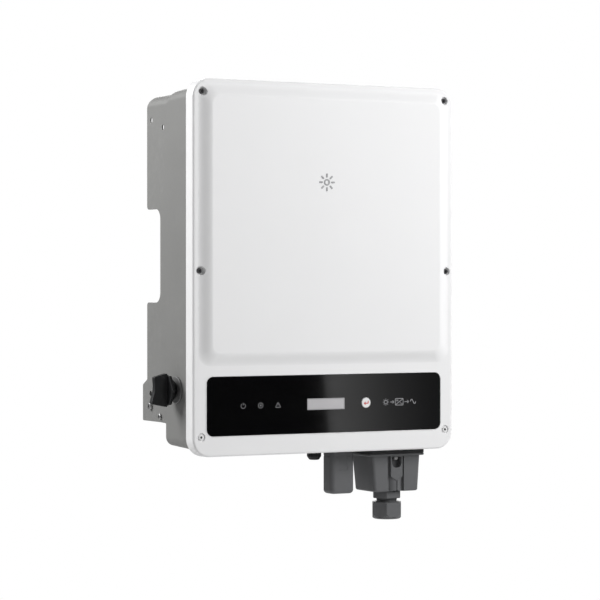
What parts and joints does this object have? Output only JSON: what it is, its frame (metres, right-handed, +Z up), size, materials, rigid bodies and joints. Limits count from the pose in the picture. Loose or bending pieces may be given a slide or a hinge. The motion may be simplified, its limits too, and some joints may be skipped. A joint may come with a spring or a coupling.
{
  "type": "string inverter",
  "caption": "Wall-hung solar string inverter with a white cover, glossy display panel, finned back, rotary DC switch, plug-in wireless module and AC cable gland.",
  "frame": {"origin": "on the back face of the wall bracket, centred across the inverter and level with the middle of its front cover", "axes": "+X to the right seen from the front, +Y into the wall, +Z up"},
  "size_m": [0.3766, 0.1535, 0.5173],
  "materials": {
    "white_coating": "white textured powder coat on cast aluminium",
    "grey_coating": "grey powder coat on die-cast aluminium",
    "sink_aluminium": "bare extruded aluminium",
    "zinc_steel": "zinc plated sheet steel",
    "screw_steel": "stainless steel",
    "window_acrylic": "gloss black printed acrylic with a clear display area",
    "lcd_glass": "grey display glass",
    "dark_polymer": "dark grey moulded polymer",
    "black_polymer": "black moulded polymer",
    "button_white": "white gloss polymer",
    "seal_rubber": "silicone rubber",
    "board_laminate": "green solder mask on glass laminate",
    "capacitor_sleeve": "blue sleeve",
    "core_potting": "potted wound core",
    "copper_winding": "enamelled copper winding on a powder core",
    "module_epoxy": "dark moulded housing",
    "terminal_polymer": "green terminal housing",
    "lamp_green": "diffused green lens",
    "lamp_red": "diffused red lens",
    "ribbon_film": "grey flat cable"
  },
  "bodies": {
    "wall": {"wall_bracket": "zinc_steel"},
    "inverter": {"ac_cover_gasket": "seal_rubber", "ac_cover_screw_front": "screw_steel", "ac_cover_screw_rear": "screw_steel", "ac_terminal_block": "terminal_polymer", "ac_terminal_cover": "dark_polymer", "boost_inductor_1": "core_potting", "boost_inductor_2": "core_potting", "button_switch": "black_polymer", "com_port_socket": "dark_polymer", "control_board": "board_laminate", "cover_gasket": "seal_rubber", "cover_screw_1": "screw_steel", "cover_screw_2": "screw_steel", "cover_screw_3": "screw_steel", "cover_screw_4": "screw_steel", "cover_screw_5": "screw_steel", "cover_screw_6": "screw_steel", "dc_connector_minus_1": "black_polymer", "dc_connector_minus_2": "black_polymer", "dc_connector_plus_1": "black_polymer", "dc_connector_plus_2": "black_polymer", "dc_link_capacitor_1": "capacitor_sleeve", "dc_link_capacitor_2": "capacitor_sleeve", "dc_link_capacitor_3": "capacitor_sleeve", "dc_link_capacitor_4": "capacitor_sleeve", "dc_switch_bezel": "dark_polymer", "dc_switch_body": "module_epoxy", "display_board": "board_laminate", "display_window": "window_acrylic", "earth_screw": "screw_steel", "emi_choke": "copper_winding", "front_cover": "white_coating", "gland_body": "dark_polymer", "gland_seal": "seal_rubber", "grid_relay_1": "black_polymer", "grid_relay_2": "black_polymer", "hanger_rail": "zinc_steel", "heat_sink": "sink_aluminium", "housing": "grey_coating", "lcd_module": "lcd_glass", "led_fault": "lamp_red", "led_power": "lamp_green", "led_run": "lamp_green", "lock_screw_left": "screw_steel", "lock_screw_right": "screw_steel", "main_board": "board_laminate", "output_inductor_1": "copper_winding", "output_inductor_2": "copper_winding", "power_module": "module_epoxy", "ribbon_cable": "ribbon_film", "vent_valve": "black_polymer", "wifi_socket": "dark_polymer"},
    "switch_rotor": {"dc_switch_knob": "black_polymer", "dc_switch_shaft": "screw_steel"},
    "enter_key": {"enter_button": "button_white"},
    "gland_clamp": {"gland_nut": "dark_polymer"},
    "com_cap": {"com_port_cap": "black_polymer"},
    "wireless_plug": {"wifi_module": "dark_polymer"}
  },
  "joints": [
    {"name": "lift_off_bracket", "type": "slide", "parent": "wall", "child": "inverter", "axis": [0, 0, 1], "range_m": [0, 0.02]},
    {"name": "dc_switch_turn", "type": "hinge", "parent": "inverter", "child": "switch_rotor", "pos_m": [-0.17, -0.0955, -0.1408], "axis": [-1, 0, 0], "range_deg": [-90, 0]},
    {"name": "enter_button_press", "type": "slide", "parent": "inverter", "child": "enter_key", "axis": [0, 1, 0], "range_m": [0, 0.0012], "stiffness_N_per_m": 500, "springref_m": -0.001},
    {"name": "gland_nut_turn", "type": "hinge", "parent": "inverter", "child": "gland_clamp", "pos_m": [0.1084, -0.101, -0.291], "axis": [0, 0, -1], "range_deg": [0, 540]},
    {"name": "com_cap_turn", "type": "hinge", "parent": "inverter", "child": "com_cap", "pos_m": [0.0076, -0.1025, -0.212], "axis": [0, 0, -1], "range_deg": [0, 360]},
    {"name": "wireless_module_pull", "type": "slide", "parent": "inverter", "child": "wireless_plug", "axis": [0, 0, -1], "range_m": [0, 0.03]}
  ]
}
